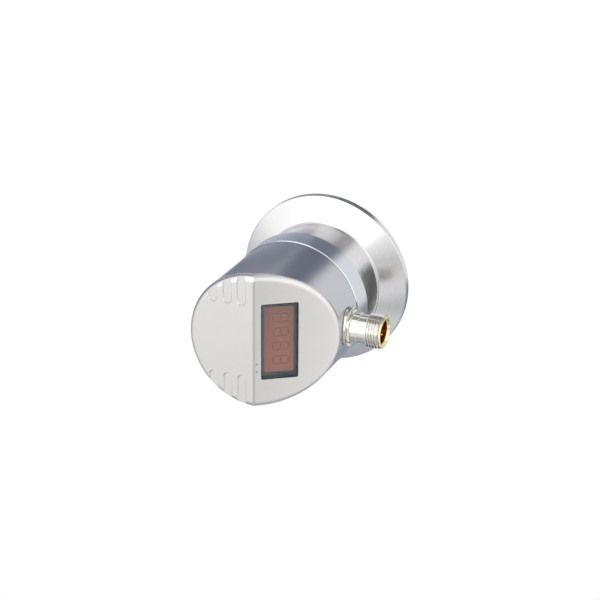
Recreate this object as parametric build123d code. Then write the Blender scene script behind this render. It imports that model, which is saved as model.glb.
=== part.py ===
from build123d import *
import os
from math import asin, cos, degrees, radians, sin, tan

# Temperature transmitter with a turning head on a hygienic clamp flange, in millimetres.
# The origin is the centre of the flange's sealing face. +Z runs up the sensor axis to the
# head, and +X points along the plug connector, which the sloped display half faces too.

# Clamp flange, neck and spigot, turned in one piece
FLANGE_DIA = 64.0
FLANGE_RIM = 2.85
FLANGE_CONE_ANGLE = 20.0
RIM_ROUNDING = 0.3
GROOVE_DIA = 56.5
GROOVE_RADIUS = 2.3
GROOVE_DEPTH = 1.5
NECK_TOP = 22.25
NECK_ROOT_FILLET = 1.0
FLOOR_TOP = 9.0
SPIGOT_WALL = 2.5
SPIGOT_LAND = 1.0
BOARD_LEDGE = 1.0
BOARD_SEAT_DEPTH = 7.0

# Collar on the neck's shoulder, a little wider than the can above it
COLLAR_OVERHANG = 0.25
COLLAR_HEIGHT = 9.35
COLLAR_STEP = 2.3
COLLAR_FOOT_CHAMFER = 0.5
COLLAR_TOP_CHAMFER = 0.3

# Swivel between the collar and the head
SWIVEL_GAP = 0.3
SWIVEL_CLEARANCE = 0.08
SWIVEL_ROOM = 6.3
SEAL_SECTION = 1.1
SEAL_GROOVE_WIDTH = 1.4
SEAL_RECESS = 0.1
HUB_WALL = 1.9
HUB_HEIGHT = 2.8
PLATE_THICKNESS = 1.5
CIRCLIP_THICKNESS = 1.0
CIRCLIP_DEPTH = 0.9
CIRCLIP_REACH = 1.7
CIRCLIP_GAP_ANGLE = 40.0
CIRCLIP_EAR_RADIUS = 1.3
CIRCLIP_EAR_STAND = 0.15
CIRCLIP_EYE_RADIUS = 0.55
HEAD_TURN = 345.0
STOP_PIN_RADIUS = 0.75
STOP_PIN_OFFSET = 3.4
STOP_PIN_SEAT = 3.0
STOP_PIN_RISE = 1.0
STOP_PIN_CHAMFER = 0.2
STOP_GROOVE_DEPTH = 1.0
STOP_CLEARANCE = 0.15

# Head can, drawn from thin sheet
HEAD_DIA = 49.2
HEAD_WALL = 0.8
SLOPE_ANGLE = 35.35
EDGE_RADIUS = 2.25
CREASE_RADIUS = 1.8
FLUTE_COUNT = 3
FLUTE_PITCH = 5.3
FIRST_FLUTE_X = -4.6
FLUTE_WIDTH = 2.7
FLUTE_DEPTH = 0.55
FLUTE_DRAFT = 35.0
FLUTE_REACH = 11.3

# Display window in the sloped half, measured along the slope
WINDOW_FROM_CREASE = 9.1
WINDOW_SIDE_MARGIN = 10.6
WINDOW_WIDTH = 13.0
WINDOW_CORNER = 0.6
PANE_SINK = 0.3
PANE_THICKNESS = 1.0
PANE_LEDGE = 1.5
GASKET_LIP = 0.35
GASKET_THICKNESS = 0.3
GASKET_SINK = 0.15
MASK_BORDER_LENGTH = 1.7
MASK_BORDER_WIDTH = 1.4
MASK_THICKNESS = 0.2
FILTER_THICKNESS = 0.5

# Display module and the board behind it
MODULE_END_MARGIN = 1.0
MODULE_SIDE_MARGIN = 0.75
MODULE_THICKNESS = 4.3
MODULE_GAP = 0.2
DIGIT_COUNT = 4
DIGIT_END_MARGIN = 2.4
DIGIT_SPACE = 1.8
DIGIT_HEIGHT = 5.9
DIGIT_OFFSET = 0.7
SEGMENT_WIDTH = 0.6
SEGMENT_SPACE = 0.12
SEGMENT_THICKNESS = 0.12
DISPLAY_BOARD_END = 1.5
DISPLAY_BOARD_SIDE = 2.25
DISPLAY_BOARD_LIFT = 2.07
BOARD_THICKNESS = 1.6
DISPLAY_BOARD_THICKNESS = 1.2
HOLDER_CHEEK = 2.0
HOLDER_INSET = 1.0
HOLDER_BAR_HEIGHT = 4.0
RIBBON_WIDTH = 8.0
RIBBON_THICKNESS = 0.3
RIBBON_FOOT_X = -10.0
RIBBON_END_ON_SLOPE = -5.0
RIBBON_STRAIGHT = 3.5
RIBBON_BEND = 1.2
RIBBON_SOCKET_DEPTH = 2.6
RIBBON_SOCKET_HEIGHT = 2.2

# Boards and spacers inside
MAIN_BOARD_MARGIN = 0.8
MAIN_BOARD_RISE = 8.0
POST_FLATS = 3.5
POST_INSET = 2.3
POST_COUNT = 3
POST_START_ANGLE = 60.0
SCREW_RADIUS = 1.2
SCREW_LENGTH = 6.0
SCREW_HEAD_RADIUS = 1.9
SCREW_HEAD_HEIGHT = 1.3
SCREW_ROUNDING = 0.4
SCREW_SOCKET_FLATS = 1.5
BORE_CLEARANCE = 0.1
SENSOR_BOARD_MARGIN = 0.3
CHIP_CHAMFER = 0.2
CAPACITOR_RADIUS = 2.5
CAPACITOR_HEIGHT = 5.5
CAPACITOR_ROUNDING = 0.4
CAPACITOR_GAP = 3.5
# Bearing and inset from the board's edge, then length, width and height of each chip
CHIPS = [
    (152.7, 5.6, 5.0, 7.0, 1.6),
    (205.1, 5.3, 4.0, 6.0, 1.4),
    (80.8, 4.3, 9.0, 4.0, 2.0),
    (282.2, 4.1, 7.0, 3.5, 1.8),
]
BOARD_RING_THICKNESS = 1.0
BOARD_RING_WIDTH = 1.6
BOARD_RING_MOUTH = 4.0
CABLE_RADIUS = 1.5
CABLE_FOOT_RADIUS = 2.6
CABLE_FOOT_HEIGHT = 3.0
PLUG_SIDE = 7.0
PLUG_HEIGHT = 2.5
PLUG_CORNER = 0.8

# Probe through the flange floor
PROBE_RADIUS = 3.0
PROBE_LENGTH = 30.0
PROBE_WALL = 0.5
PROBE_RISE = 12.0
PROBE_ROOT_RADIUS = 3.5
PROBE_WELD = 0.5
PROBE_WELD_RADIUS = 3.2
PROBE_TIP_ROUNDING = 2.4
ELEMENT_RADIUS = 1.4
ELEMENT_LENGTH = 8.0
ELEMENT_CHAMFER = 0.3
INSULATOR_RADIUS = 2.3
INSULATOR_RISE = 1.0
LEAD_RADIUS = 0.2
LEAD_CIRCLE = 1.2
LEAD_SPREAD = 6.0
LEAD_BEND = 3.0
LEAD_STRAIGHT = 4.0
LEAD_STUB = 0.6
LEAD_COUNT = 4
LEAD_START_ANGLE = 45.0
SMALL_GAP = 0.3
# How far a cutter runs past what it cuts
OVERCUT = 1.0

# Plug connector, along +X, its axis above the can's rim
CONNECTOR_RISE = 7.0
STEM_RADIUS = 3.9
STEM_INSIDE = 3.8
BASE_RADIUS = 7.0
BASE_RISE = 0.9
BASE_ROUNDING = 0.3
HEX_FLATS = 12.0
HEX_TURNED_RADIUS = 6.4
HEX_THICKNESS = 0.9
HEX_FACE_INSET = 0.2
HEX_CHAMFER_RATIO = 0.7
SHOULDER_RADIUS = 5.5
SHOULDER_LENGTH = 2.4
BARREL_RADIUS = 5.2
BARREL_LENGTH = 3.2
THREAD_RADIUS = 5.95
THREAD_LENGTH = 5.1
THREAD_LEAD_IN = 0.4
LIP_LENGTH = 0.5
SLEEVE_LIP_RADIUS = 5.6
SLEEVE_RADIUS = 4.75
SLEEVE_WALL = 0.5
LIP_CHAMFER = 0.15
MOUTH_CHAMFER = 0.9
CUP_DEPTH = 8.7
INSERT_SINK = 7.0
INSERT_STEM_RADIUS = 3.3
KEY_WIDTH = 1.4
KEY_HEIGHT = 0.9
KEY_LENGTH = 4.4
PIN_RADIUS = 0.5
PIN_CIRCLE = 2.5
PIN_COUNT = 4
PIN_START_ANGLE = 45.0
PIN_SINK = 1.6
PIN_TIP_ROUNDING = 0.7
FIT = 0.05
SADDLE_THICKNESS = 0.3
SADDLE_SINK = 0.35
NUT_RADIUS = 5.2
NUT_THICKNESS = 1.9
NUT_SEAT = 1.2
NUT_SLOT_COUNT = 4
NUT_SLOT_WIDTH = 1.6
NUT_SLOT_DEPTH = 0.8
CONNECTOR_BOARD_THICKNESS = 1.0
CONNECTOR_BOARD_WIDTH = 12.0
CONNECTOR_BOARD_DROP = 2.5
TAIL_LENGTH = 2.0

# Radii and heights worked out from the sizes above
HEAD_RADIUS = HEAD_DIA / 2
HEAD_BORE = HEAD_RADIUS - HEAD_WALL
COLLAR_RADIUS = HEAD_RADIUS + COLLAR_OVERHANG
NECK_RADIUS = COLLAR_RADIUS - COLLAR_STEP
SPIGOT_RADIUS = HEAD_BORE - SWIVEL_ROOM
BOARD_SEAT_RADIUS = SPIGOT_RADIUS - SPIGOT_WALL
CAVITY_RADIUS = BOARD_SEAT_RADIUS - BOARD_LEDGE
STOP_PIN_CIRCLE = SPIGOT_RADIUS + STOP_PIN_OFFSET
MAIN_BOARD_RADIUS = HEAD_BORE - MAIN_BOARD_MARGIN
POST_CIRCLE = HEAD_BORE - POST_INSET
COLLAR_TOP = NECK_TOP + COLLAR_HEIGHT
HEAD_RIM = COLLAR_TOP + SWIVEL_GAP
PLATE_TOP = HEAD_RIM + PLATE_THICKNESS
HUB_TOP = HEAD_RIM + HUB_HEIGHT
CIRCLIP_FOOT = HUB_TOP + SWIVEL_GAP
SPIGOT_TOP = CIRCLIP_FOOT + CIRCLIP_THICKNESS + SPIGOT_LAND
BOARD_SEAT_HEIGHT = SPIGOT_TOP - BOARD_SEAT_DEPTH
SENSOR_BOARD_TOP = BOARD_SEAT_HEIGHT + BOARD_THICKNESS
MAIN_BOARD_HEIGHT = SPIGOT_TOP + MAIN_BOARD_RISE
MAIN_BOARD_TOP = MAIN_BOARD_HEIGHT + BOARD_THICKNESS
PLUG_FOOT = MAIN_BOARD_HEIGHT - PLUG_HEIGHT
CONNECTOR_HEIGHT = HEAD_RIM + CONNECTOR_RISE
CONNECTOR_BOARD_FOOT = CONNECTOR_HEIGHT - CONNECTOR_BOARD_DROP

# Places along the connector
STEM_END = HEAD_BORE - STEM_INSIDE
TAIL_END = STEM_END - TAIL_LENGTH
BASE_END = HEAD_RADIUS + BASE_RISE
HEX_END = BASE_END + HEX_THICKNESS
SHOULDER_END = HEX_END + SHOULDER_LENGTH
BARREL_END = SHOULDER_END + BARREL_LENGTH
THREAD_END = BARREL_END + THREAD_LENGTH
SLEEVE_END = THREAD_END + LIP_LENGTH
CUP_FLOOR = SLEEVE_END - CUP_DEPTH
INSERT_FACE = SLEEVE_END - INSERT_SINK
PIN_TIP = SLEEVE_END - PIN_SINK

# Lengths across the display and depths below the can's outer face
WINDOW_LENGTH = HEAD_DIA - 2 * WINDOW_SIDE_MARGIN
MODULE_LENGTH = WINDOW_LENGTH - 2 * MODULE_END_MARGIN
MODULE_WIDTH = WINDOW_WIDTH - 2 * MODULE_SIDE_MARGIN
DIGIT_PITCH = (MODULE_LENGTH - 2 * DIGIT_END_MARGIN) / DIGIT_COUNT
DIGIT_WIDTH = DIGIT_PITCH - DIGIT_SPACE
DISPLAY_BOARD_LENGTH = MODULE_LENGTH + 2 * DISPLAY_BOARD_END
DISPLAY_BOARD_WIDTH = MODULE_WIDTH + 2 * DISPLAY_BOARD_SIDE
HOLDER_SPAN = DISPLAY_BOARD_LENGTH - 2 * HOLDER_INSET
FLUTE_INNER_END = HEAD_RADIUS - FLUTE_REACH
PANE_STEP = HEAD_WALL + GASKET_THICKNESS
PANE_BACK = PANE_STEP + PANE_THICKNESS
MASK_BACK = PANE_BACK + MASK_THICKNESS
FILTER_BACK = MASK_BACK + FILTER_THICKNESS
MODULE_FACE = FILTER_BACK + MODULE_GAP
MODULE_BACK = MODULE_FACE + MODULE_THICKNESS
DISPLAY_BOARD_BACK = MODULE_BACK + DISPLAY_BOARD_THICKNESS

# The slope stands as high as lets the display board clear the main board below it.
SLOPE_TAN = tan(radians(SLOPE_ANGLE))
SLOPE_COS = cos(radians(SLOPE_ANGLE))
SLOPE_SIN = sin(radians(SLOPE_ANGLE))
DISPLAY_DROP = DISPLAY_BOARD_WIDTH / 2 * SLOPE_SIN + DISPLAY_BOARD_BACK * SLOPE_COS
WINDOW_CENTRE_X = WINDOW_FROM_CREASE * SLOPE_COS
WINDOW_CENTRE_Z = MAIN_BOARD_TOP + DISPLAY_BOARD_LIFT + DISPLAY_DROP
HEAD_TOP = WINDOW_CENTRE_Z + WINDOW_FROM_CREASE * SLOPE_SIN

# Local x runs down the slope, local y along +Y, local z out of the slope.
SLOPE = Plane(
    origin=(WINDOW_CENTRE_X, 0, WINDOW_CENTRE_Z),
    x_dir=(SLOPE_COS, 0, -SLOPE_SIN),
    z_dir=(SLOPE_SIN, 0, SLOPE_COS),
)
# Local z runs out along the connector.
CONNECTOR = Plane(origin=(0, 0, CONNECTOR_HEIGHT), x_dir=(0, 1, 0), z_dir=(1, 0, 0))


def turned(points):
    """Solid of revolution about Z from (radius, height) points."""
    outline = Polyline(*[(r, 0, z) for r, z in points], close=True)
    return revolve(make_face(outline), axis=Axis.Z)


def rod(radius, low, high):
    """Round bar on the Z axis between two heights."""
    return Pos(0, 0, low) * extrude(Circle(radius), amount=high - low)


def tube(radius, bore, low, high):
    """Round tube on the Z axis between two heights."""
    return Pos(0, 0, low) * extrude(Circle(radius) - Circle(bore), amount=high - low)


def slab(width, length, near, far, corner=0.0):
    """Plate parallel to the slope, between two depths below the can's outer face."""
    if corner > 0:
        outline = RectangleRounded(width, length, corner)
    else:
        outline = Rectangle(width, length)
    return SLOPE * (Pos(0, 0, -far) * extrude(outline, amount=far - near))


def circle_places(count, radius, start=0.0):
    """Places spread evenly on a circle about Z."""
    return [Rot(0, 0, start + i * 360 / count) * Pos(radius, 0, 0) for i in range(count)]


def edges_at(part, height, radius):
    """Circular edges at one height and radius."""
    found = part.edges().filter_by(GeomType.CIRCLE)
    return [e for e in found if abs(e.center().Z - height) < 0.01 and abs(e.radius - radius) < 0.01]


def clamp_flange():
    rim = FLANGE_DIA / 2
    neck = NECK_RADIUS
    cone_top = FLANGE_RIM + (rim - neck) * tan(radians(FLANGE_CONE_ANGLE))
    seal_floor = SPIGOT_RADIUS - SEAL_RECESS - SEAL_SECTION
    seal_low = (HEAD_RIM + HUB_TOP - SEAL_GROOVE_WIDTH) / 2
    clip_floor = SPIGOT_RADIUS - CIRCLIP_DEPTH
    part = turned([
        (PROBE_ROOT_RADIUS + FIT, 0),
        (rim, 0),
        (rim, FLANGE_RIM),
        (neck, cone_top),
        (neck, NECK_TOP),
        (SPIGOT_RADIUS, NECK_TOP),
        (SPIGOT_RADIUS, seal_low),
        (seal_floor, seal_low),
        (seal_floor, seal_low + SEAL_GROOVE_WIDTH),
        (SPIGOT_RADIUS, seal_low + SEAL_GROOVE_WIDTH),
        (SPIGOT_RADIUS, CIRCLIP_FOOT - FIT),
        (clip_floor, CIRCLIP_FOOT - FIT),
        (clip_floor, CIRCLIP_FOOT + CIRCLIP_THICKNESS + FIT),
        (SPIGOT_RADIUS, CIRCLIP_FOOT + CIRCLIP_THICKNESS + FIT),
        (SPIGOT_RADIUS, SPIGOT_TOP),
        (BOARD_SEAT_RADIUS, SPIGOT_TOP),
        (BOARD_SEAT_RADIUS, BOARD_SEAT_HEIGHT),
        (CAVITY_RADIUS, BOARD_SEAT_HEIGHT),
        (CAVITY_RADIUS, FLOOR_TOP),
        (PROBE_ROOT_RADIUS + FIT, FLOOR_TOP),
    ])
    part = fillet(edges_at(part, cone_top, neck), NECK_ROOT_FILLET)
    part = fillet(edges_at(part, FLANGE_RIM, rim) + edges_at(part, 0, rim), RIM_ROUNDING)
    groove = Pos(0, 0, GROOVE_DEPTH - GROOVE_RADIUS) * Torus(GROOVE_DIA / 2, GROOVE_RADIUS)
    return part - groove


def base_collar():
    part = tube(COLLAR_RADIUS, SPIGOT_RADIUS + FIT, NECK_TOP, COLLAR_TOP)
    part = chamfer(edges_at(part, NECK_TOP, COLLAR_RADIUS), COLLAR_FOOT_CHAMFER)
    part = chamfer(edges_at(part, COLLAR_TOP, COLLAR_RADIUS), COLLAR_TOP_CHAMFER)
    hole = rod(STOP_PIN_RADIUS + FIT, COLLAR_TOP - STOP_PIN_SEAT, COLLAR_TOP + OVERCUT)
    return part - Pos(-STOP_PIN_CIRCLE, 0, 0) * hole


def stop_pin():
    part = rod(STOP_PIN_RADIUS, COLLAR_TOP - STOP_PIN_SEAT, COLLAR_TOP + STOP_PIN_RISE)
    part = chamfer(edges_at(part, COLLAR_TOP + STOP_PIN_RISE, STOP_PIN_RADIUS), STOP_PIN_CHAMFER)
    return Pos(-STOP_PIN_CIRCLE, 0, 0) * part


def swivel_seal():
    middle = (HEAD_RIM + HUB_TOP) / 2
    section = SEAL_SECTION / 2
    return Pos(0, 0, middle) * Torus(SPIGOT_RADIUS - SEAL_RECESS - section, section)


def retaining_ring():
    inner = SPIGOT_RADIUS - CIRCLIP_DEPTH + FIT
    outer = SPIGOT_RADIUS + CIRCLIP_REACH
    half_gap = CIRCLIP_GAP_ANGLE / 2
    ear_angle = half_gap + degrees(CIRCLIP_EAR_RADIUS / outer)
    ear_circle = outer - CIRCLIP_EAR_RADIUS + CIRCLIP_EAR_STAND
    band = Circle(outer) - Circle(inner)
    mouth = Polyline(
        (0, 0),
        (2 * outer * sin(radians(half_gap)), 2 * outer * cos(radians(half_gap))),
        (-2 * outer * sin(radians(half_gap)), 2 * outer * cos(radians(half_gap))),
        close=True,
    )
    band = band - make_face(mouth)
    for side in (-1, 1):
        place = Rot(0, 0, 90 + side * ear_angle) * Pos(ear_circle, 0, 0)
        band = band + place * Circle(CIRCLIP_EAR_RADIUS)
        band = band - place * Circle(CIRCLIP_EYE_RADIUS)
    band = band - Circle(inner)
    return Pos(0, 0, CIRCLIP_FOOT) * extrude(band, amount=CIRCLIP_THICKNESS)


def probe_sheath():
    bore = PROBE_RADIUS - PROBE_WALL
    floor = PROBE_WALL - PROBE_LENGTH
    outer = turned([
        (0, -PROBE_LENGTH),
        (PROBE_RADIUS, -PROBE_LENGTH),
        (PROBE_RADIUS, -PROBE_WELD),
        (PROBE_WELD_RADIUS, 0),
        (PROBE_ROOT_RADIUS, 0),
        (PROBE_ROOT_RADIUS, PROBE_RISE),
        (0, PROBE_RISE),
    ])
    outer = fillet(edges_at(outer, -PROBE_LENGTH, PROBE_RADIUS), PROBE_TIP_ROUNDING)
    inner = rod(bore, floor, PROBE_RISE + OVERCUT)
    inner = fillet(edges_at(inner, floor, bore), PROBE_TIP_ROUNDING - PROBE_WALL)
    return outer - inner


def sensor_element():
    low = PROBE_WALL - PROBE_LENGTH + SMALL_GAP
    part = rod(ELEMENT_RADIUS, low, low + ELEMENT_LENGTH)
    return chamfer(edges_at(part, low, ELEMENT_RADIUS), ELEMENT_CHAMFER)


def lead_places():
    return circle_places(LEAD_COUNT, LEAD_CIRCLE, LEAD_START_ANGLE)


def element_top():
    return PROBE_WALL - PROBE_LENGTH + SMALL_GAP + ELEMENT_LENGTH


def sensor_insulator():
    part = rod(INSULATOR_RADIUS, element_top() + SMALL_GAP, PROBE_RISE + INSULATOR_RISE)
    for place in lead_places():
        bore = rod(LEAD_RADIUS + FIT, element_top(), PROBE_RISE + INSULATOR_RISE + OVERCUT)
        part = part - place * bore
    return part


def sensor_leads():
    path = FilletPolyline(
        (LEAD_CIRCLE, 0, element_top()),
        (LEAD_CIRCLE, 0, PROBE_RISE + LEAD_STRAIGHT),
        (LEAD_SPREAD, 0, BOARD_SEAT_HEIGHT - LEAD_STRAIGHT),
        (LEAD_SPREAD, 0, SENSOR_BOARD_TOP + LEAD_STUB),
        radius=LEAD_BEND,
    )
    section = Plane(origin=(LEAD_CIRCLE, 0, element_top()), z_dir=(0, 0, 1)) * Circle(LEAD_RADIUS)
    wire = sweep(section, path=path)
    return [place * wire for place in circle_places(LEAD_COUNT, 0, LEAD_START_ANGLE)]


def sensor_board():
    part = rod(BOARD_SEAT_RADIUS - SENSOR_BOARD_MARGIN, BOARD_SEAT_HEIGHT, SENSOR_BOARD_TOP)
    for place in circle_places(LEAD_COUNT, LEAD_SPREAD, LEAD_START_ANGLE):
        bore = rod(LEAD_RADIUS + BORE_CLEARANCE, BOARD_SEAT_HEIGHT - OVERCUT, SENSOR_BOARD_TOP + OVERCUT)
        part = part - place * bore
    return part


def sensor_board_ring():
    outer = BOARD_SEAT_RADIUS - FIT
    band = Circle(outer) - Circle(outer - BOARD_RING_WIDTH)
    band = band - Pos(0, -outer) * Rectangle(BOARD_RING_MOUTH, 3 * BOARD_RING_WIDTH)
    return Pos(0, 0, SENSOR_BOARD_TOP) * extrude(band, amount=BOARD_RING_THICKNESS)


def swivel_cable():
    foot = SENSOR_BOARD_TOP
    return turned([
        (0, foot),
        (CABLE_FOOT_RADIUS, foot),
        (CABLE_FOOT_RADIUS, foot + CABLE_FOOT_HEIGHT / 3),
        (CABLE_RADIUS, foot + CABLE_FOOT_HEIGHT),
        (CABLE_RADIUS, PLUG_FOOT - SMALL_GAP),
        (0, PLUG_FOOT - SMALL_GAP),
    ])


def head_form(inset, foot):
    """Outer or inner form of the can: a cylinder cut by the flat and the sloped top."""
    radius = HEAD_RADIUS - inset
    top = HEAD_TOP - inset
    crease = -inset * tan(radians(SLOPE_ANGLE / 2))
    reach = HEAD_DIA
    side = Polyline(
        (-reach, 0, foot),
        (reach, 0, foot),
        (reach, 0, top - SLOPE_TAN * (reach - crease)),
        (crease, 0, top),
        (-reach, 0, top),
        close=True,
    )
    wedge = extrude(make_face(side), amount=reach, dir=(0, 1, 0), both=True)
    form = rod(radius, foot, HEAD_TOP + OVERCUT) & wedge
    ridge = [e for e in form.edges().filter_by(Axis.Y) if abs(e.center().X - crease) < 0.01]
    form = fillet(ridge, CREASE_RADIUS - inset)
    upper = [e for e in form.edges() if e.geom_type != GeomType.LINE and e.center().Z > foot + OVERCUT]
    return fillet(upper, EDGE_RADIUS - inset)


def flutes(grow):
    """Finger grips pressed into the flat half, open towards the edge, wider by grow each side."""
    half = FLUTE_WIDTH / 2 + grow
    end = HEAD_RADIUS + OVERCUT
    middle = FLUTE_INNER_END + FLUTE_WIDTH / 2
    spread = FLUTE_DEPTH + OVERCUT
    cutters = []
    for side in (-1, 1):
        for i in range(FLUTE_COUNT):
            x = FIRST_FLUTE_X - i * FLUTE_PITCH
            outline = Pos(0, side * (middle + end) / 2) * Rectangle(2 * half, end - middle)
            outline = outline + Pos(0, side * middle) * Circle(half)
            cutter = extrude(outline, amount=spread, taper=-FLUTE_DRAFT)
            cutters.append(Pos(x, 0, HEAD_TOP - FLUTE_DEPTH - grow) * cutter)
    return cutters


def head_can():
    outer = head_form(0, HEAD_RIM)
    outer = outer - flutes(0)
    inner = head_form(HEAD_WALL, HEAD_RIM - OVERCUT)
    inner = inner - flutes(HEAD_WALL)
    part = outer - inner
    part = part - slab(WINDOW_WIDTH, WINDOW_LENGTH, -OVERCUT, HEAD_WALL + OVERCUT, WINDOW_CORNER)
    return part - CONNECTOR * rod(STEM_RADIUS + FIT, STEM_END, BASE_END)


def head_ring():
    bore = SPIGOT_RADIUS + SWIVEL_CLEARANCE
    hub = bore + HUB_WALL
    part = turned([
        (bore, HEAD_RIM),
        (HEAD_BORE - FIT, HEAD_RIM),
        (HEAD_BORE - FIT, PLATE_TOP),
        (hub, PLATE_TOP),
        (hub, HUB_TOP),
        (bore, HUB_TOP),
    ])
    half_pin = degrees(asin((STOP_PIN_RADIUS + FIT) / STOP_PIN_CIRCLE))
    travel = HEAD_TURN + 2 * half_pin
    low = STOP_PIN_CIRCLE - STOP_PIN_RADIUS - STOP_CLEARANCE
    high = STOP_PIN_CIRCLE + STOP_PIN_RADIUS + STOP_CLEARANCE
    section = Polyline(
        (low, 0, HEAD_RIM - OVERCUT),
        (high, 0, HEAD_RIM - OVERCUT),
        (high, 0, HEAD_RIM + STOP_GROOVE_DEPTH),
        (low, 0, HEAD_RIM + STOP_GROOVE_DEPTH),
        close=True,
    )
    groove = revolve(make_face(section), axis=Axis.Z, revolution_arc=travel)
    return part - Rot(0, 0, (360 - travel) / 2) * groove


def window_gasket():
    plug_width = WINDOW_WIDTH - 2 * GASKET_LIP - 2 * FIT
    plug_length = WINDOW_LENGTH - 2 * GASKET_LIP - 2 * FIT
    seat = slab(plug_width + 2 * PANE_LEDGE, plug_length + 2 * PANE_LEDGE, HEAD_WALL, PANE_STEP)
    lip = slab(WINDOW_WIDTH - 2 * FIT, WINDOW_LENGTH - 2 * FIT, GASKET_SINK, PANE_STEP, WINDOW_CORNER)
    return seat + lip - slab(plug_width, plug_length, -OVERCUT, PANE_STEP + OVERCUT, WINDOW_CORNER / 2)


def window_pane():
    plug_width = WINDOW_WIDTH - 2 * GASKET_LIP - 4 * FIT
    plug_length = WINDOW_LENGTH - 2 * GASKET_LIP - 4 * FIT
    ledge = slab(plug_width + 2 * PANE_LEDGE, plug_length + 2 * PANE_LEDGE, PANE_STEP, PANE_BACK)
    return ledge + slab(plug_width, plug_length, PANE_SINK, PANE_BACK, WINDOW_CORNER / 2)


def display_mask():
    width = WINDOW_WIDTH + PANE_LEDGE
    length = WINDOW_LENGTH + PANE_LEDGE
    clear_width = WINDOW_WIDTH - 2 * MASK_BORDER_WIDTH
    clear_length = WINDOW_LENGTH - 2 * MASK_BORDER_LENGTH
    frame = slab(width, length, PANE_BACK, MASK_BACK)
    opening = slab(clear_width, clear_length, PANE_BACK - OVERCUT, MASK_BACK + OVERCUT, WINDOW_CORNER)
    return frame - opening


def display_filter():
    return slab(WINDOW_WIDTH + PANE_LEDGE, WINDOW_LENGTH + PANE_LEDGE, MASK_BACK, FILTER_BACK)


def display_module():
    return slab(MODULE_WIDTH, MODULE_LENGTH, MODULE_FACE, MODULE_BACK)


def segment_outlines():
    """Seven bars of one digit that stands upright along local -x."""
    tall = (DIGIT_HEIGHT - SEGMENT_WIDTH) / 2
    wide = DIGIT_WIDTH - SEGMENT_WIDTH
    across = Rectangle(SEGMENT_WIDTH, wide - SEGMENT_WIDTH - 2 * SEGMENT_SPACE)
    along = Rectangle(tall - 2 * SEGMENT_SPACE, SEGMENT_WIDTH)
    bars = [Pos(x, 0) * across for x in (-tall, 0, tall)]
    for x in (-tall / 2, tall / 2):
        bars.append(Pos(x, -wide / 2) * along)
        bars.append(Pos(x, wide / 2) * along)
    return bars


def display_digits():
    parts = []
    for i in range(DIGIT_COUNT):
        y = (i - (DIGIT_COUNT - 1) / 2) * DIGIT_PITCH
        for bar in segment_outlines():
            solid = extrude(Pos(DIGIT_OFFSET, y) * bar, amount=SEGMENT_THICKNESS)
            parts.append(SLOPE * (Pos(0, 0, -MODULE_FACE) * solid))
    return parts


def display_board():
    return slab(DISPLAY_BOARD_WIDTH, DISPLAY_BOARD_LENGTH, MODULE_BACK, DISPLAY_BOARD_BACK, 1.0)


def slope_point(along, depth):
    """X and Z of a point at a distance down the slope and a depth below its face."""
    x = WINDOW_CENTRE_X + along * SLOPE_COS - depth * SLOPE_SIN
    z = WINDOW_CENTRE_Z - along * SLOPE_SIN - depth * SLOPE_COS
    return x, z


def display_holder():
    half = DISPLAY_BOARD_WIDTH / 2
    high_x, high_z = slope_point(-half, DISPLAY_BOARD_BACK)
    low_x, low_z = slope_point(half, DISPLAY_BOARD_BACK)
    cheek = Polyline(
        (high_x, 0, MAIN_BOARD_TOP),
        (low_x, 0, MAIN_BOARD_TOP),
        (low_x, 0, low_z),
        (high_x, 0, high_z),
        close=True,
    )
    solid = extrude(make_face(cheek), amount=HOLDER_SPAN / 2, dir=(0, 1, 0), both=True)
    inner_span = HOLDER_SPAN - 2 * HOLDER_CHEEK
    floor = Pos((high_x + low_x) / 2, 0, MAIN_BOARD_TOP)
    above = Pos(0, 0, HOLDER_BAR_HEIGHT) * extrude(Rectangle(2 * half, inner_span), amount=HEAD_TOP)
    beside = Pos(HOLDER_CHEEK, 0) * extrude(Rectangle(low_x - high_x, inner_span), amount=HEAD_TOP)
    return solid - floor * above - floor * beside


def display_ribbon():
    end_x, end_z = slope_point(RIBBON_END_ON_SLOPE, DISPLAY_BOARD_BACK)
    bend_x, bend_z = slope_point(RIBBON_END_ON_SLOPE, DISPLAY_BOARD_BACK + RIBBON_STRAIGHT)
    path = FilletPolyline(
        (RIBBON_FOOT_X, 0, MAIN_BOARD_TOP),
        (RIBBON_FOOT_X, 0, bend_z - RIBBON_BEND),
        (bend_x, 0, bend_z),
        (end_x, 0, end_z),
        radius=RIBBON_BEND,
    )
    section = Pos(RIBBON_FOOT_X, 0, MAIN_BOARD_TOP) * Rectangle(RIBBON_THICKNESS, RIBBON_WIDTH)
    return sweep(section, path=path, transition=Transition.RIGHT)


def main_board():
    part = rod(MAIN_BOARD_RADIUS, MAIN_BOARD_HEIGHT, MAIN_BOARD_TOP)
    for place in circle_places(POST_COUNT, POST_CIRCLE, POST_START_ANGLE):
        bore = rod(SCREW_RADIUS + BORE_CLEARANCE, MAIN_BOARD_HEIGHT - OVERCUT, MAIN_BOARD_TOP + OVERCUT)
        part = part - place * bore
    return part


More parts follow.
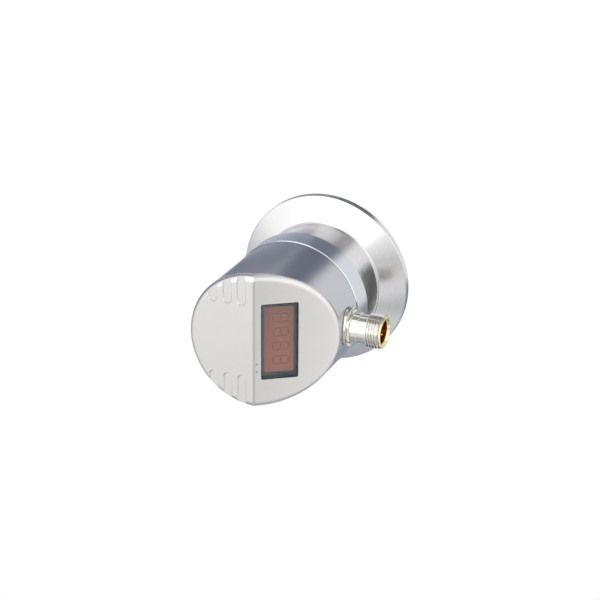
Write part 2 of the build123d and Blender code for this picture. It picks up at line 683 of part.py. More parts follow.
def board_components():
    """Chips, a round capacitor and the ribbon's socket, standing on the main board."""
    parts = []
    for bearing, inset, length, width, height in CHIPS:
        x = (MAIN_BOARD_RADIUS - inset) * cos(radians(bearing))
        y = (MAIN_BOARD_RADIUS - inset) * sin(radians(bearing))
        box = extrude(Rectangle(length, width), amount=height)
        box = chamfer(box.faces().sort_by(Axis.Z)[-1].edges(), CHIP_CHAMFER)
        parts.append(Pos(x, y, MAIN_BOARD_TOP) * box)
    can = extrude(Circle(CAPACITOR_RADIUS), amount=CAPACITOR_HEIGHT)
    can = fillet(can.faces().sort_by(Axis.Z)[-1].edges(), CAPACITOR_ROUNDING)
    holder_end, _ = slope_point(DISPLAY_BOARD_WIDTH / 2, DISPLAY_BOARD_BACK)
    parts.append(Pos(holder_end + CAPACITOR_GAP + CAPACITOR_RADIUS, 0, MAIN_BOARD_TOP) * can)
    mouth = Rectangle(RIBBON_THICKNESS + 2 * FIT, RIBBON_WIDTH + 2 * FIT)
    socket = Rectangle(RIBBON_SOCKET_DEPTH, RIBBON_WIDTH + RIBBON_SOCKET_DEPTH) - mouth
    socket = extrude(socket, amount=RIBBON_SOCKET_HEIGHT)
    parts.append(Pos(RIBBON_FOOT_X, 0, MAIN_BOARD_TOP) * socket)
    return parts


def board_posts():
    outline = Rot(0, 0, 30) * RegularPolygon(POST_FLATS / 2, 6, major_radius=False)
    post = Pos(0, 0, PLATE_TOP) * extrude(outline, amount=MAIN_BOARD_HEIGHT - PLATE_TOP)
    bore = rod(SCREW_RADIUS + FIT, MAIN_BOARD_HEIGHT - SCREW_LENGTH, MAIN_BOARD_TOP)
    return [place * (post - bore) for place in circle_places(POST_COUNT, POST_CIRCLE, POST_START_ANGLE)]


def board_screws():
    shank = rod(SCREW_RADIUS, MAIN_BOARD_TOP - SCREW_LENGTH, MAIN_BOARD_TOP)
    head = rod(SCREW_HEAD_RADIUS, MAIN_BOARD_TOP, MAIN_BOARD_TOP + SCREW_HEAD_HEIGHT)
    head = fillet(edges_at(head, MAIN_BOARD_TOP + SCREW_HEAD_HEIGHT, SCREW_HEAD_RADIUS), SCREW_ROUNDING)
    socket = RegularPolygon(SCREW_SOCKET_FLATS / 2, 6, major_radius=False)
    socket = Pos(0, 0, MAIN_BOARD_TOP + SCREW_HEAD_HEIGHT / 2) * extrude(socket, amount=SCREW_HEAD_HEIGHT)
    screw = shank + head - socket
    return [place * screw for place in circle_places(POST_COUNT, POST_CIRCLE, POST_START_ANGLE)]


def cable_plug():
    body = extrude(RectangleRounded(PLUG_SIDE, PLUG_SIDE, PLUG_CORNER), amount=PLUG_HEIGHT)
    return Pos(0, 0, PLUG_FOOT) * body


def outside_head(grow):
    """Cylinder round the can that trims what seats on its wall from outside."""
    return rod(HEAD_RADIUS + grow, 0, HEAD_TOP)


def connector_gasket():
    ring = CONNECTOR * tube(BASE_RADIUS - SADDLE_SINK, STEM_RADIUS + 2 * FIT, STEM_END, BASE_END)
    ring = ring & outside_head(SADDLE_THICKNESS)
    return ring - outside_head(0)


def hexagon_body():
    """Hexagon with its corners turned off and chamfered at the front."""
    outline = RegularPolygon(HEX_FLATS / 2, 6, major_radius=False)
    prism = Pos(0, 0, BASE_END) * extrude(outline, amount=HEX_END - BASE_END)
    front = HEX_FLATS / 2 - HEX_FACE_INSET
    slant = (HEX_TURNED_RADIUS - front) * HEX_CHAMFER_RATIO
    return prism & turned([
        (0, BASE_END),
        (HEX_TURNED_RADIUS, BASE_END),
        (HEX_TURNED_RADIUS, HEX_END - slant),
        (front, HEX_END),
        (0, HEX_END),
    ])


def connector_shell():
    base = rod(BASE_RADIUS, STEM_END, BASE_END)
    base = fillet(edges_at(base, BASE_END, BASE_RADIUS), BASE_ROUNDING)
    base = CONNECTOR * base - outside_head(SADDLE_THICKNESS)
    barrel = turned([
        (0, STEM_END),
        (STEM_RADIUS, STEM_END),
        (STEM_RADIUS, BASE_END),
        (SHOULDER_RADIUS, BASE_END),
        (SHOULDER_RADIUS, SHOULDER_END),
        (BARREL_RADIUS, SHOULDER_END),
        (BARREL_RADIUS, BARREL_END),
        (THREAD_RADIUS, BARREL_END + THREAD_LEAD_IN),
        (THREAD_RADIUS, THREAD_END - THREAD_LEAD_IN),
        (THREAD_RADIUS - THREAD_LEAD_IN, THREAD_END),
        (0, THREAD_END),
    ])
    barrel = barrel + hexagon_body()
    part = base + CONNECTOR * barrel
    cup = rod(SLEEVE_RADIUS + FIT, CUP_FLOOR, SLEEVE_END)
    bore = rod(INSERT_STEM_RADIUS + FIT, STEM_END - OVERCUT, THREAD_END)
    return part - CONNECTOR * cup - CONNECTOR * bore


def connector_sleeve():
    bore = SLEEVE_RADIUS - SLEEVE_WALL
    return CONNECTOR * turned([
        (bore, CUP_FLOOR),
        (SLEEVE_RADIUS, CUP_FLOOR),
        (SLEEVE_RADIUS, THREAD_END),
        (SLEEVE_LIP_RADIUS - LIP_CHAMFER, THREAD_END),
        (SLEEVE_LIP_RADIUS, THREAD_END + LIP_CHAMFER),
        (SLEEVE_LIP_RADIUS, SLEEVE_END - LIP_CHAMFER),
        (SLEEVE_LIP_RADIUS - LIP_CHAMFER, SLEEVE_END),
        (SLEEVE_RADIUS, SLEEVE_END),
        (bore, SLEEVE_END - MOUTH_CHAMFER),
    ])


def pin_places():
    return circle_places(PIN_COUNT, PIN_CIRCLE, PIN_START_ANGLE)


def contact_insert():
    face_radius = SLEEVE_RADIUS - SLEEVE_WALL - FIT
    part = turned([
        (0, STEM_END),
        (INSERT_STEM_RADIUS, STEM_END),
        (INSERT_STEM_RADIUS, CUP_FLOOR),
        (face_radius, CUP_FLOOR),
        (face_radius, INSERT_FACE),
        (0, INSERT_FACE),
    ])
    key = Pos(0, face_radius - KEY_HEIGHT / 2 - FIT, INSERT_FACE)
    part = part + key * extrude(Rectangle(KEY_WIDTH, KEY_HEIGHT), amount=KEY_LENGTH)
    for place in pin_places():
        part = part - place * rod(PIN_RADIUS + FIT, STEM_END - OVERCUT, PIN_TIP)
    return CONNECTOR * part


def contact_pins():
    pin = rod(PIN_RADIUS, TAIL_END, PIN_TIP)
    pin = fillet(edges_at(pin, PIN_TIP, PIN_RADIUS), PIN_TIP_ROUNDING * PIN_RADIUS)
    return [CONNECTOR * (place * pin) for place in pin_places()]


def connector_washer():
    flat = HEAD_BORE - NUT_SEAT
    ring = CONNECTOR * tube(NUT_RADIUS, STEM_RADIUS + 2 * FIT, flat, HEAD_RADIUS)
    return ring & rod(HEAD_BORE - FIT, 0, HEAD_TOP)


def connector_nut():
    flat = HEAD_BORE - NUT_SEAT
    part = tube(NUT_RADIUS, STEM_RADIUS + FIT, flat - NUT_THICKNESS, flat)
    for place in circle_places(NUT_SLOT_COUNT, NUT_RADIUS):
        slot = extrude(Rectangle(2 * NUT_SLOT_DEPTH, NUT_SLOT_WIDTH), amount=NUT_THICKNESS)
        part = part - place * Pos(0, 0, flat - NUT_THICKNESS) * slot
    return CONNECTOR * part


def connector_board():
    height = MAIN_BOARD_HEIGHT - CONNECTOR_BOARD_FOOT
    middle = TAIL_END + CONNECTOR_BOARD_THICKNESS / 2
    part = Pos(middle, 0, CONNECTOR_BOARD_FOOT + height / 2)
    part = part * Box(CONNECTOR_BOARD_THICKNESS, CONNECTOR_BOARD_WIDTH, height)
    for place in pin_places():
        part = part - CONNECTOR * (place * rod(PIN_RADIUS + FIT, TAIL_END - OVERCUT, STEM_END))
    return part


NODES = {
    "clamp_flange": clamp_flange,
    "base_collar": base_collar,
    "probe_sheath": probe_sheath,
    "sensor_element": sensor_element,
    "sensor_insulator": sensor_insulator,
    "sensor_leads": sensor_leads,
    "sensor_board": sensor_board,
    "sensor_board_ring": sensor_board_ring,
    "swivel_cable": swivel_cable,
    "swivel_seal": swivel_seal,
    "retaining_ring": retaining_ring,
    "stop_pin": stop_pin,
    "head_can": head_can,
    "head_ring": head_ring,
    "window_gasket": window_gasket,
    "window_pane": window_pane,
    "display_mask": display_mask,
    "display_filter": display_filter,
    "display_module": display_module,
    "display_digits": display_digits,
    "display_board": display_board,
    "display_holder": display_holder,
    "display_ribbon": display_ribbon,
    "main_board": main_board,
    "board_components": board_components,
    "board_posts": board_posts,
    "board_screws": board_screws,
    "cable_plug": cable_plug,
    "connector_gasket": connector_gasket,
    "connector_shell": connector_shell,
    "connector_sleeve": connector_sleeve,
    "contact_insert": contact_insert,
    "contact_pins": contact_pins,
    "connector_washer": connector_washer,
    "connector_nut": connector_nut,
    "connector_board": connector_board,
}


def main():
    os.makedirs("parts", exist_ok=True)
    for name, make in NODES.items():
        made = make()
        pieces = made if isinstance(made, list) else [made]
        solids = [solid for piece in pieces for solid in piece.solids()]
        whole = solids[0] if len(solids) == 1 else Compound(children=solids)
        whole.label = name
        export_step(whole, os.path.join("parts", name + ".step"))


if __name__ == "__main__":
    main()
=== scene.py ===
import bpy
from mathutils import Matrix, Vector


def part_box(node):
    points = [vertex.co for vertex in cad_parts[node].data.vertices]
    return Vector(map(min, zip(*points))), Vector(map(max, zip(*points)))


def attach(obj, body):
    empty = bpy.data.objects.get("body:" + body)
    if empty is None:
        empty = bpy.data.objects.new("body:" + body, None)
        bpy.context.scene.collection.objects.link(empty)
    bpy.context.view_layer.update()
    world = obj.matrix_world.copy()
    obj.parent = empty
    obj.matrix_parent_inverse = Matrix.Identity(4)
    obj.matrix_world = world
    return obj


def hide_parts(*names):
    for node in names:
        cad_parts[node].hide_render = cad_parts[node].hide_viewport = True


bl_info = {
    "name": "Temperature Transmitter Finish",
    "version": (1, 0, 0),
    "blender": (4, 5, 0),
    "location": "View3D > Sidebar > Transmitter",
    "description": "Finishes of a temperature transmitter, its plug thread and its studio",
    "category": "Object",
}

import math

import bmesh
import bpy
from bpy.props import FloatProperty, FloatVectorProperty, IntProperty, PointerProperty
from mathutils import Matrix, Vector

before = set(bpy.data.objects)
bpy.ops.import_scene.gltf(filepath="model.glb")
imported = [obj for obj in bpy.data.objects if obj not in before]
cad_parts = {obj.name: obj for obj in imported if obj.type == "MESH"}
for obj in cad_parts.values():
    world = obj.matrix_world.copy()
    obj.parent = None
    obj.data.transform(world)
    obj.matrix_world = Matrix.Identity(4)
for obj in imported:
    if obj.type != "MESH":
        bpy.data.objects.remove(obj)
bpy.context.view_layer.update()        # imported meshes now carry their world placement

MM = 0.001


def linear(text):
    """Linear colour of an sRGB hex value, for the colour sockets and properties."""
    parts = [int(text[i:i + 2], 16) / 255 for i in (1, 3, 5)]
    return tuple(c / 12.92 if c <= 0.04045 else ((c + 0.055) / 1.055) ** 2.4 for c in parts)


# Sizes that the solids give

SHELL_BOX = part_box("connector_shell")
SLEEVE_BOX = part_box("connector_sleeve")
AXIS_HEIGHT = (SLEEVE_BOX[0].z + SLEEVE_BOX[1].z) / 2
BASE_RADIUS = SHELL_BOX[1].z - AXIS_HEIGHT
HEAD_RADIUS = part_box("head_can")[1].x


class FinishSettings(bpy.types.PropertyGroup):
    """Colours and roughness of the visible finishes."""

    can_colour: FloatVectorProperty(
        name="Can", description="Satin stainless steel of the head", subtype="COLOR",
        default=linear("#D3D2D0"), min=0, max=1)
    can_roughness: FloatProperty(
        name="Can roughness", description="Roughness of the satin faces", default=0.36, min=0, max=1)
    # The wall's colour is partly its drawn steel's own and partly painted shade: the can's sides darker than
    # its top
    wall_colour_and_shade: FloatVectorProperty(
        name="Can wall", description="Drawn steel of the can's wall", subtype="COLOR",
        default=linear("#C1C2C7"), min=0, max=1)
    wall_roughness: FloatProperty(
        name="Wall roughness", description="Roughness of the can's drawn wall", default=0.26, min=0, max=1)
    flange_colour: FloatVectorProperty(
        name="Flange", description="Turned stainless steel of the flange and neck", subtype="COLOR",
        default=linear("#DAD9DA"), min=0, max=1)
    collar_colour: FloatVectorProperty(
        name="Collar", description="Finely turned stainless steel of the collar", subtype="COLOR",
        default=linear("#D2D6DC"), min=0, max=1)
    plate_colour: FloatVectorProperty(
        name="Nickel", description="Nickel plate of the plug connector", subtype="COLOR",
        default=linear("#DAD7D0"), min=0, max=1)
    gold_colour: FloatVectorProperty(
        name="Gold", description="Thin gold plate of the sleeve's lip and the pins", subtype="COLOR",
        default=linear("#F0E6BE"), min=0, max=1)
    # Painted shade: the bore's colour darkens the gold down into the sleeve
    bore_shade_colour: FloatVectorProperty(
        name="Sleeve bore", description="Heavier gold plate inside the sleeve", subtype="COLOR",
        default=linear("#DDAA60"), min=0, max=1)
    filter_colour: FloatVectorProperty(
        name="Filter", description="Brown tinted display filter", subtype="COLOR",
        default=linear("#DBB2A5"), min=0, max=1)
    border_colour: FloatVectorProperty(
        name="Border", description="Dark printed border behind the pane", subtype="COLOR",
        default=linear("#3C444C"), min=0, max=1)


class ThreadSettings(bpy.types.PropertyGroup):
    """Sizes of the plug connector's thread, and the faces round it."""

    pitch: FloatProperty(
        name="Pitch", description="Rise of one turn of the thread", default=1.0 * MM, subtype="DISTANCE",
        unit="LENGTH", precision=5)
    depth: FloatProperty(
        name="Depth", description="Depth of the thread", default=0.6 * MM, subtype="DISTANCE",
        unit="LENGTH", precision=5)
    radius: FloatProperty(
        name="Radius", description="Outer radius of the thread", default=5.95 * MM, subtype="DISTANCE",
        unit="LENGTH", precision=5)
    length: FloatProperty(
        name="Length", description="Length of the threaded end", default=5.1 * MM, subtype="DISTANCE",
        unit="LENGTH", precision=5)
    segments: IntProperty(
        name="Segments", description="Faces round the connector", default=120, min=24, max=360)


class StudioSettings(bpy.types.PropertyGroup):
    """Floor, light and camera."""

    floor_colour: FloatVectorProperty(
        name="Floor", description="Pale studio floor", subtype="COLOR",
        default=linear("#FAFAFA"), min=0, max=1)
    floor_depth: FloatProperty(
        name="Floor depth", description="How far the floor lies below the sealing face", default=0.22,
        subtype="DISTANCE", unit="LENGTH")
    fill: FloatProperty(
        name="Fill", description="Strength of the even studio light", default=0.9, min=0, max=2)
    azimuth: FloatProperty(
        name="Azimuth", description="Camera's bearing, 0 looks along +Y", default=math.radians(137.877),
        subtype="ANGLE", unit="ROTATION")
    elevation: FloatProperty(
        name="Elevation", description="Camera's height above the horizon", default=math.radians(57.568),
        subtype="ANGLE", unit="ROTATION")
    roll: FloatProperty(
        name="Roll", description="Camera's turn about its view", default=math.radians(-132.546),
        subtype="ANGLE", unit="ROTATION")
    distance: FloatProperty(
        name="Distance", description="Camera's distance from its target", default=0.622157,
        subtype="DISTANCE", unit="LENGTH")


# Nodes and patterns

# Sockets of the Mix node by number, because its number and colour sockets have the same names
MIX_SHARE = 0
MIX_NUMBER_A = 2
MIX_NUMBER_B = 3
MIX_COLOUR_A = 6
MIX_COLOUR_B = 7
MIX_COLOUR_OUT = 2


def add(tree, kind, settings=None, links=None):
    """Adds a node, sets its inputs or properties by name or number, and links its inputs."""
    made = tree.nodes.new(kind)
    for name, value in (settings or {}).items():
        if isinstance(name, int) or name in made.inputs:
            made.inputs[name].default_value = value
        else:
            setattr(made, name, value)
    for name, source in (links or {}).items():
        tree.links.new(source, made.inputs[name])
    return made


def grit(tree, size_mm, detail=3.0, stretch=(1.0, 1.0, 1.0)):
    """Even noise whose grains have a size in millimetres."""
    place = add(tree, "ShaderNodeTexCoord").outputs["Object"]
    scale = {"Scale": [s / (size_mm * MM) for s in stretch]}
    scaled = add(tree, "ShaderNodeMapping", scale, {"Vector": place})
    settings = {"Scale": 1.0, "Detail": detail}
    noise = add(tree, "ShaderNodeTexNoise", settings, {"Vector": scaled.outputs[0]})
    return noise.outputs["Fac"]


def tool_lines(tree, spacing_mm):
    """Fine lines round the Z axis, as a lathe leaves them on walls and faces alike."""
    place = add(tree, "ShaderNodeTexCoord").outputs["Object"]
    parts = add(tree, "ShaderNodeSeparateXYZ", links={0: place})
    flat = add(tree, "ShaderNodeCombineXYZ", links={"X": parts.outputs["X"], "Y": parts.outputs["Y"]})
    radius = add(tree, "ShaderNodeVectorMath", {"operation": "LENGTH"}, {0: flat.outputs[0]})
    along = add(tree, "ShaderNodeMath", {"operation": "ADD"}, {
        0: radius.outputs["Value"], 1: parts.outputs["Z"]})
    step = add(tree, "ShaderNodeMath", {"operation": "DIVIDE", 1: spacing_mm * MM}, {0: along.outputs[0]})
    settings = {"noise_dimensions": "1D", "Scale": 1.0, "Detail": 2.0}
    return add(tree, "ShaderNodeTexNoise", settings, {"W": step.outputs[0]}).outputs["Fac"]


def rise(tree, axis, start, end):
    """Even rise from 0 to 1 between two places along an axis."""
    place = add(tree, "ShaderNodeTexCoord").outputs["Object"]
    parts = add(tree, "ShaderNodeSeparateXYZ", links={0: place})
    ends = {"From Min": start, "From Max": end}
    return add(tree, "ShaderNodeMapRange", ends, {"Value": parts.outputs[axis]}).outputs[0]


def surface(name, colour, spread, roughness, pattern, depth_mm, tone=None, **constants):
    """Principled material whose colour, roughness and relief all follow one pattern.

    pattern takes the node tree and gives a value from 0 to 1, and so does tone, which the colour
    follows instead where it is given. spread is how far the colour strays to each side, and
    roughness is its lowest and highest value. The rest are constants of the shader's sockets.
    """
    material = bpy.data.materials.new(name)
    material.use_nodes = True
    tree = material.node_tree
    tree.nodes.clear()
    value = pattern(tree)
    broad = tone(tree) if tone else value
    low = [max(c * (1 - spread), 0) for c in colour]
    high = [min(c * (1 + spread), 1) for c in colour]
    settings = {"data_type": "RGBA", MIX_COLOUR_A: (*low, 1), MIX_COLOUR_B: (*high, 1)}
    mix = add(tree, "ShaderNodeMix", settings, {MIX_SHARE: broad})
    limits = {"To Min": roughness[0], "To Max": roughness[1]}
    rough = add(tree, "ShaderNodeMapRange", limits, {"Value": value})
    bump = add(tree, "ShaderNodeBump", {"Strength": 1.0, "Distance": depth_mm * MM}, {"Height": value})
    shader = add(tree, "ShaderNodeBsdfPrincipled", constants_of(constants), {
        "Base Color": mix.outputs[MIX_COLOUR_OUT],
        "Roughness": rough.outputs[0],
        "Normal": bump.outputs[0],
    })
    add(tree, "ShaderNodeOutputMaterial", links={"Surface": shader.outputs[0]})
    return material


def constants_of(words):
    """Socket names from keyword names, such as coat_weight for Coat Weight."""
    short = {"ior": "IOR"}
    return {short.get(k, k.replace("_", " ").title()): v for k, v in words.items()}


def node_of(tree, kind):
    """The one node of a kind in a tree."""
    return next(node for node in tree.nodes if node.type == kind)


def tint_by(tree, tint):
    """Multiplies the base colour that a material has by a second one."""
    colour = node_of(tree, "BSDF_PRINCIPLED").inputs["Base Color"]
    mixed = add(tree, "ShaderNodeMix", {"data_type": "RGBA", "blend_type": "MULTIPLY", MIX_SHARE: 1.0}, {
        MIX_COLOUR_A: colour.links[0].from_socket, MIX_COLOUR_B: tint})
    tree.links.new(mixed.outputs[MIX_COLOUR_OUT], colour)


def share_of(colour, whole):
    """Colour that gives the first one when it is multiplied by the second."""
    return (*[part / full for part, full in zip(colour, whole)], 1)


def let_light_in(material, tint):
    """Lets the light for what lies behind a clear plate pass straight in, tinted at each face."""
    tree = material.node_tree
    surface_in = node_of(tree, "OUTPUT_MATERIAL").inputs["Surface"]
    path = add(tree, "ShaderNodeLightPath")
    lighting = add(tree, "ShaderNodeMath", {"operation": "MAXIMUM"}, {
        0: path.outputs["Is Shadow Ray"], 1: path.outputs["Is Diffuse Ray"]})
    straight = add(tree, "ShaderNodeBsdfTransparent", {"Color": (*tint, 1)})
    mixed = add(tree, "ShaderNodeMixShader", links={
        0: lighting.outputs[0], 1: surface_in.links[0].from_socket, 2: straight.outputs[0]})
    tree.links.new(mixed.outputs[0], surface_in)
    return material


# Metals

# The can's face is wall below the first upward share of its normal, and top above the second
WALL_BELOW = 0.05
TOP_ABOVE = 0.35
SATIN_SPREAD = 0.03

# Two faint round tool marks beside the crease, on the sloped side, with their dark core
CREASE_MARKS = [(0.9 * MM, -8.0 * MM, 64.9 * MM), (0.9 * MM, -10.9 * MM, 64.9 * MM)]
MARK_RADIUS = 0.45 * MM
MARK_CORE = 0.3 * MARK_RADIUS
MARK_SHADE = (0.35, 0.35, 0.35, 1)

# The sleeve's gold darkens from pale to a brown painted shade between these two distances from its end, down
# the bore
BORE_SHADE_START = 0.4 * MM
BORE_SHADE_FULL = 1.6 * MM


def with_crease_marks(tree, colour):
    """Adds the soft-edged marks beside the crease to a colour."""
    place = add(tree, "ShaderNodeTexCoord").outputs["Object"]
    for spot in CREASE_MARKS:
        gap = add(tree, "ShaderNodeVectorMath", {"operation": "DISTANCE", 1: spot}, {0: place})
        settings = {"interpolation_type": "SMOOTHSTEP", "From Min": MARK_CORE, "From Max": MARK_RADIUS}
        clean = add(tree, "ShaderNodeMapRange", settings, {"Value": gap.outputs["Value"]})
        colour = add(tree, "ShaderNodeMix", {"data_type": "RGBA", MIX_COLOUR_A: MARK_SHADE}, {
            MIX_SHARE: clean.outputs[0], MIX_COLOUR_B: colour}).outputs[MIX_COLOUR_OUT]
    return colour


def satin_drawn_stainless(settings):
    """Deep-drawn stainless can, bead blasted on top: soft even sheen, the wall glossier, and darker partly by
    its drawn finish and partly as painted shade of its darker reflections.
    """
    material = surface(
        "satin_drawn_stainless", settings.can_colour, 0.02,
        (settings.can_roughness - SATIN_SPREAD, settings.can_roughness + SATIN_SPREAD),
        lambda tree: grit(tree, 0.35), 0.004, lambda tree: grit(tree, 9.0, 2.0), metallic=1.0)
    tree = material.node_tree
    normal = add(tree, "ShaderNodeTexCoord").outputs["Normal"]
    upward = add(tree, "ShaderNodeSeparateXYZ", links={0: normal}).outputs["Z"]
    limits = {"From Min": WALL_BELOW, "From Max": TOP_ABOVE}
    on_top = add(tree, "ShaderNodeMapRange", limits, {"Value": upward}).outputs[0]
    roughness = node_of(tree, "BSDF_PRINCIPLED").inputs["Roughness"]
    rough = add(tree, "ShaderNodeMix", {MIX_NUMBER_A: settings.wall_roughness}, {
        MIX_SHARE: on_top, MIX_NUMBER_B: roughness.links[0].from_socket})
    tree.links.new(rough.outputs[0], roughness)
    # Painted shade, partly the drawn finish: the wall, found by its normal, is coloured darker than the top
    drawn = add(tree, "ShaderNodeMix", {
        "data_type": "RGBA", MIX_COLOUR_A: share_of(settings.wall_colour_and_shade, settings.can_colour),
        MIX_COLOUR_B: (1, 1, 1, 1)}, {MIX_SHARE: on_top})
    tint_by(tree, with_crease_marks(tree, drawn.outputs[MIX_COLOUR_OUT]))
    return material


def turned_stainless(settings):
    """Lathe-turned stainless: fine rings round the axis. Its 0.1 mm lines are drawn at 0.5 mm to show."""
    return surface(
        "turned_stainless", settings.flange_colour, 0.03, (0.16, 0.24),
        lambda tree: tool_lines(tree, 0.5), 0.002, metallic=1.0)


def fine_turned_stainless(settings):
    """Fine-turned stainless: smooth, cool sheen, faint rings. Its 0.05 mm lines are drawn at 0.4 mm."""
    return surface(
        "fine_turned_stainless", settings.collar_colour, 0.03, (0.18, 0.26),
        lambda tree: tool_lines(tree, 0.4), 0.002, metallic=1.0)


def nickel_plate(settings):
    """Bright nickel over brass: glossy, slightly warm, softly uneven where the plating pools."""
    return surface(
        "nickel_plate", settings.plate_colour, 0.04, (0.12, 0.22),
        lambda tree: grit(tree, 0.8), 0.003, metallic=1.0)


def gold_plate(settings):
    """Thin gold over nickel: pale and glossy at the lip, darkening to brown gold further down the bore, which
    is painted shade of the recess.
    """
    material = surface(
        "gold_plate", settings.gold_colour, 0.06, (0.15, 0.25),
        lambda tree: grit(tree, 0.5), 0.002, metallic=1.0)
    tree = material.node_tree
    end = SLEEVE_BOX[1].x
    # Painted shade: the gold darkens from the lip down into the bore
    bore_shade_share = rise(tree, "X", end - BORE_SHADE_START, end - BORE_SHADE_FULL)
    depth = add(tree, "ShaderNodeMix", {
        "data_type": "RGBA", MIX_COLOUR_A: (1, 1, 1, 1),
        MIX_COLOUR_B: share_of(settings.bore_shade_colour, settings.gold_colour)}, {MIX_SHARE: bore_shade_share})
    tint_by(tree, depth.outputs[MIX_COLOUR_OUT])
    return material


def spring_steel():
    """Phosphated spring steel of the rings: dark grey, dull and finely mottled."""
    return surface(
        "phosphated_spring_steel", linear("#55565A"), 0.15, (0.4, 0.55),
        lambda tree: grit(tree, 0.4), 0.004, metallic=1.0)


def bright_steel():
    """Bright zinc-plated steel of the pin and screws: clean and lightly streaked by the tool."""
    return surface(
        "bright_zinc_steel", linear("#C9CBCE"), 0.05, (0.2, 0.32),
        lambda tree: tool_lines(tree, 0.3), 0.002, metallic=1.0)


def bare_brass():
    """Milled brass of the spacers: warm yellow with short tool marks."""
    return surface(
        "milled_brass", linear("#D8B66A"), 0.07, (0.22, 0.36),
        lambda tree: grit(tree, 0.3, 2.0, (1, 1, 6)), 0.004, metallic=1.0)


def tinned_wire():
    """Tinned copper wire: silvery and slightly dull."""
    return surface(
        "tinned_copper_wire", linear("#C4C6C8"), 0.06, (0.25, 0.4),
        lambda tree: grit(tree, 0.2), 0.002, metallic=1.0)


# Rubber, plastics, glass and boards

def nitrile_rubber():
    """Moulded nitrile rubber: near black, matt, faintly pebbled by the mould."""
    return surface(
        "moulded_nitrile_rubber", linear("#171B20"), 0.12, (0.45, 0.6),
        lambda tree: grit(tree, 0.25), 0.006, ior=1.52)


def silicone_lightened_in_shade():
    """Moulded silicone seal: pale grey, soft sheen, slightly milky; partly a seal's own pale colour and
    partly painted light that lightens the shaded gap under the connector's base.
    """
    return surface(
        "moulded_silicone_lightened", linear("#F0F0EE"), 0.05, (0.35, 0.5),
        lambda tree: grit(tree, 0.3), 0.004, ior=1.43)


def clear_glass():
    """Float glass pane: clear and fully polished, with only the faintest ripple."""
    material = surface(
        "float_glass_pane", linear("#F4F8F7"), 0.01, (0.02, 0.03),
        lambda tree: grit(tree, 12.0), 0.0005, ior=1.5, transmission_weight=1.0)
    return let_light_in(material, linear("#FAFCFB"))


def border_print(settings):
    """Screen-printed border on the back of the pane: slate grey ink, slightly uneven."""
    return surface(
        "screen_printed_border", settings.border_colour, 0.1, (0.35, 0.5),
        lambda tree: grit(tree, 0.3), 0.002, ior=1.5)


# The filter's colour is darkest at this place along Y and palest at the opposite one
DARKEST_Y = 13 * MM


def tinted_filter(settings):
    """Brown cast acrylic filter: clear and polished, its colour darker towards one end along Y."""
    material = surface(
        "tinted_acrylic_filter", settings.filter_colour, 0.16, (0.03, 0.05),
        lambda tree: grit(tree, 4.0), 0.0005, lambda tree: rise(tree, "Y", DARKEST_Y, -DARKEST_Y),
        ior=1.49, transmission_weight=1.0)
    return let_light_in(material, settings.filter_colour)


def module_plastic():
    """Moulded display block round the digits: light grey and matt."""
    return surface(
        "display_block_polycarbonate", linear("#E2DCD6"), 0.05, (0.5, 0.65),
        lambda tree: grit(tree, 1.5), 0.004, ior=1.58)


def segment_resin():
    """Unlit segment resin: milky, a little darker and glossier than the block round it."""
    return surface(
        "unlit_segment_resin", linear("#C0B2AC"), 0.06, (0.3, 0.45),
        lambda tree: grit(tree, 0.4), 0.001, ior=1.55)


def moulded_black():
    """Glass-filled black nylon of the holder: dull with a fine mould texture."""
    return surface(
        "glass_filled_nylon", linear("#2B2522"), 0.2, (0.4, 0.6),
        lambda tree: grit(tree, 0.2), 0.006, ior=1.53)


def moulded_brown():
    """Glass-filled brown nylon of the contact insert: satin, with a fine mould texture."""
    return surface(
        "brown_glass_filled_nylon", linear("#C68E4E"), 0.15, (0.3, 0.45),
        lambda tree: grit(tree, 0.2), 0.004, ior=1.53)


def moulded_white():
    """White nylon of the plug and the washer: slightly milky and satin."""
    return surface(
        "white_nylon", linear("#E6E3DC"), 0.04, (0.35, 0.5),
        lambda tree: grit(tree, 0.4), 0.004, ior=1.53, subsurface_weight=0.05)


def circuit_board():
    """Fibre-glass board under green lacquer: the weave shows faintly through a semi-gloss coat."""
    return surface(
        "green_lacquered_board", linear("#2F6B45"), 0.25, (0.25, 0.4),
        lambda tree: grit(tree, 0.6, 1.0), 0.004, ior=1.5, coat_weight=0.3)


def epoxy_parts():
    """Moulded epoxy of chips, capacitor and socket: black and finely rough."""
    return surface(
        "moulded_epoxy", linear("#26272A"), 0.18, (0.4, 0.55),
        lambda tree: grit(tree, 0.15), 0.004, ior=1.55)


def alumina():
    """Fired alumina rod: chalky white and dry."""
    return surface(
        "fired_alumina", linear("#EFEDE6"), 0.03, (0.55, 0.7),
        lambda tree: grit(tree, 0.3), 0.004, ior=1.76)


def cable_jacket():
    """Soft vinyl jacket of the cable: mid grey with lengthways streaks from extrusion."""
    return surface(
        "extruded_vinyl_jacket", linear("#7B7F84"), 0.08, (0.4, 0.55),
        lambda tree: grit(tree, 0.3, 2.0, (1, 1, 0.1)), 0.004, ior=1.52)


def amber_foil():
    """Amber polyimide foil of the flat cable: glossy, with copper tracks showing as stripes."""
    return surface(
        "polyimide_foil", linear("#B4701F"), 0.3, (0.2, 0.3),
        lambda tree: grit(tree, 0.5, 1.0, (0.1, 1, 0.1)), 0.002, ior=1.7)


def dress(material, *names):
    """Gives CAD nodes or new pieces a finish."""
    for name in names:
        data = bpy.data.objects[name].data
        data.materials.clear()
        data.materials.append(material)


# Plug connector with its thread cut

# Shares of the pitch where a 60 degree thread's crest ends and its root starts, from the crest's middle
CREST_END = 1 / 16
ROOT_START = 3 / 8
# Share of the pitch over which the thread reaches its full depth at each end
RUN_IN = 0.6
THREAD_STEPS = 14        # points along one pitch

